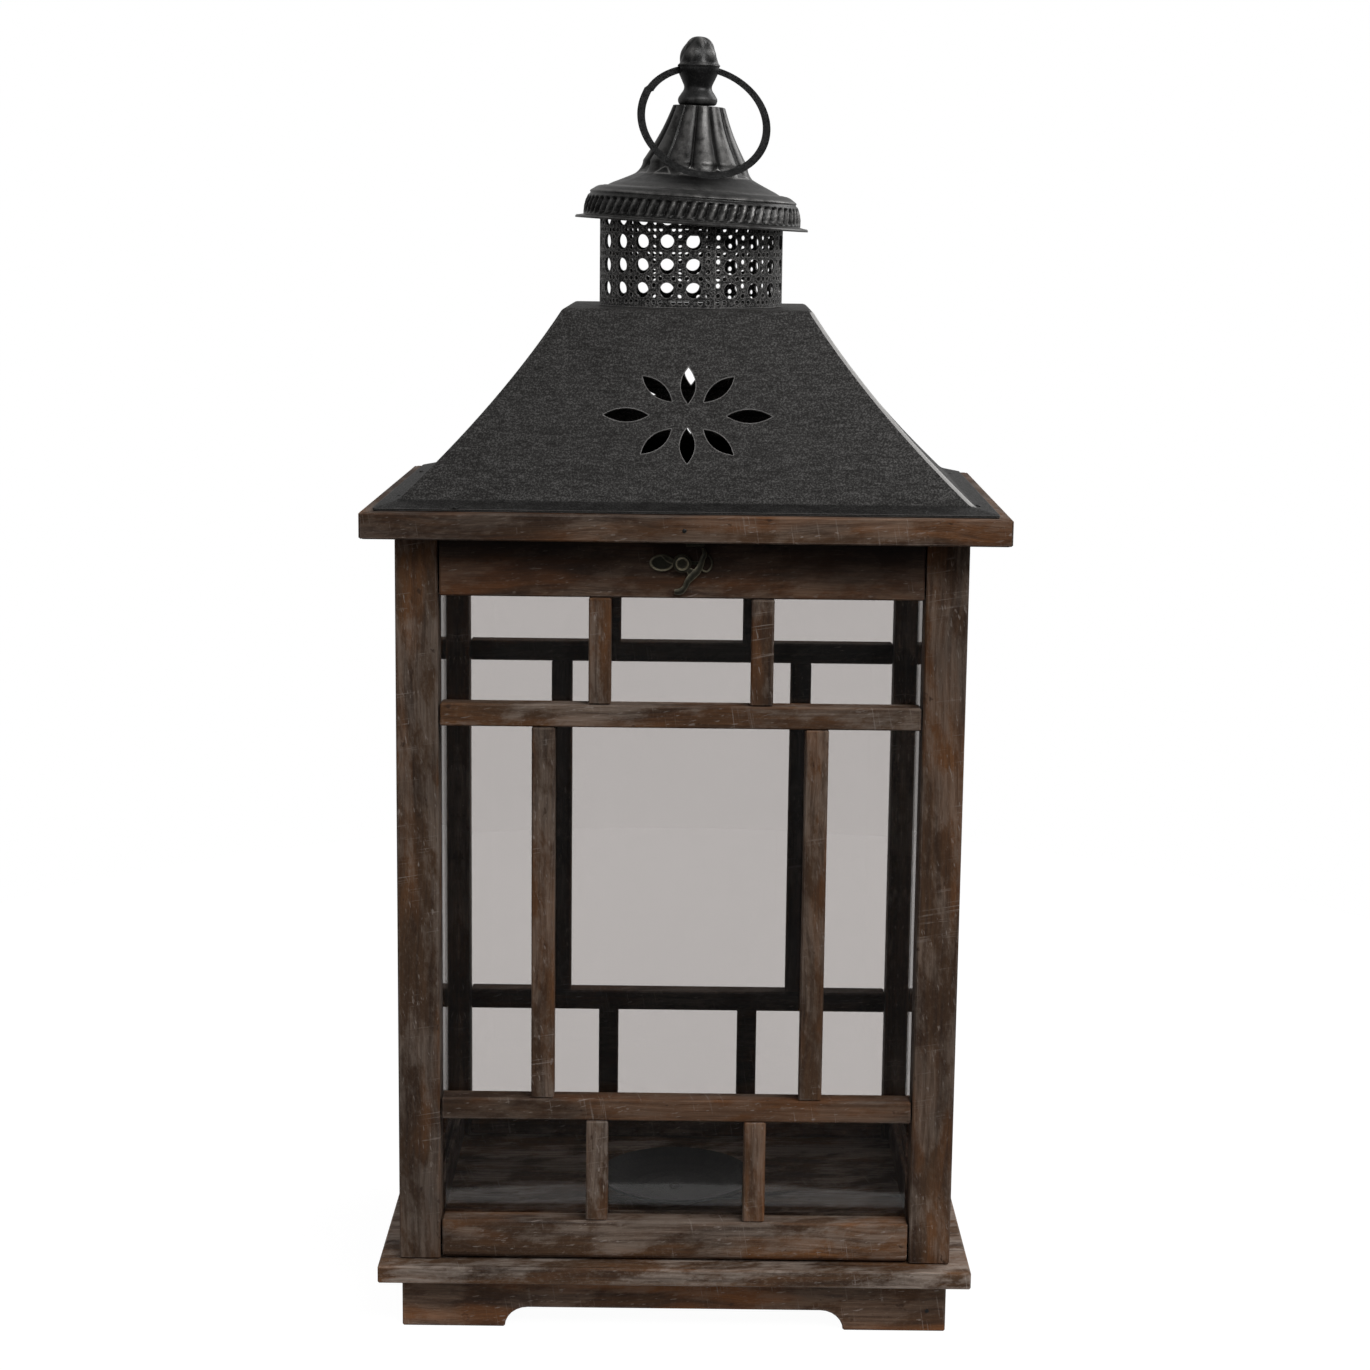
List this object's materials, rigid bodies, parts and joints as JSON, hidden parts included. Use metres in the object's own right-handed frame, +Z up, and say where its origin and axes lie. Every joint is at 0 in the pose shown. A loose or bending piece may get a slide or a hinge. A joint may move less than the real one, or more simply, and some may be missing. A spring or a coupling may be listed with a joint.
{
  "type": "candle lantern",
  "caption": "Wooden candle lantern with glazed panel sides, a drop-down door, a folded metal roof, a pierced chimney and a hanging ring.",
  "frame": {"origin": "on the ground under the middle of the roof, midway between the outermost points left to right and front to back", "axes": "+Z up, +X to the right seen from the front, -Y towards the front, where the door and its latch are"},
  "size_m": [0.2964, 0.229, 0.6095],
  "materials": {
    "wood": "dark brown stain, worn edges, grey wash left in the grain",
    "glass": "clear, slightly dusty",
    "roof_sheet": "gunmetal grey, speckled, worn bright on the folds",
    "black_iron": "blackened, rubbed to grey on the high spots",
    "bronze": "dark antique bronze"
  },
  "bodies": {
    "lantern": {"plinth_front": "wood", "plinth_back": "wood", "plinth_left": "wood", "plinth_right": "wood", "base_board": "wood", "post_front_left": "wood", "post_front_right": "wood", "post_back_left": "wood", "post_back_right": "wood", "eave_front": "wood", "eave_back": "wood", "eave_left": "wood", "eave_right": "wood", "back_bottom_rail": "wood", "back_top_rail": "wood", "back_upper_mid_rail": "wood", "back_lower_mid_rail": "wood", "back_long_bar_left": "wood", "back_long_bar_right": "wood", "back_glass": "glass", "left_bottom_rail": "wood", "left_top_rail": "wood", "left_upper_mid_rail": "wood", "left_lower_mid_rail": "wood", "left_long_bar_left": "wood", "left_long_bar_right": "wood", "left_glass": "glass", "right_bottom_rail": "wood", "right_top_rail": "wood", "right_upper_mid_rail": "wood", "right_lower_mid_rail": "wood", "right_long_bar_left": "wood", "right_long_bar_right": "wood", "right_glass": "glass", "door_pin_left": "bronze", "door_pin_right": "bronze", "latch_keeper": "bronze", "roof_hood": "roof_sheet", "chimney_collar": "black_iron", "cap": "black_iron", "cap_strap": "black_iron", "finial_bolt": "black_iron", "finial": "black_iron", "candle_plate": "black_iron", "plate_screw": "black_iron"},
    "door": {"door_bottom_rail": "wood", "door_top_rail": "wood", "door_upper_mid_rail": "wood", "door_lower_mid_rail": "wood", "door_long_bar_left": "wood", "door_long_bar_right": "wood", "door_top_short_bar_left": "wood", "door_top_short_bar_right": "wood", "door_bottom_short_bar_left": "wood", "door_bottom_short_bar_right": "wood", "door_glass": "glass", "latch_plate": "bronze", "latch_pin": "bronze"},
    "latch": {"latch_lever": "bronze"},
    "ring": {"ring_handle": "black_iron"}
  },
  "joints": [
    {"name": "door_hinge", "type": "hinge", "parent": "lantern", "child": "door", "pos_m": [-0.0025, -0.0925, 0.0394], "axis": [1, 0, 0], "range_deg": [0, 90]},
    {"name": "latch_pivot", "type": "hinge", "parent": "door", "child": "latch", "pos_m": [-0.0025, -0.0988, 0.37], "axis": [0, -1, 0], "range_deg": [0, 25]},
    {"name": "ring_swing", "type": "hinge", "parent": "lantern", "child": "ring", "pos_m": [0.00249, 0, 0.59431], "axis": [-0.978, -0.2079, 0.0171], "range_deg": [0, 288]}
  ]
}
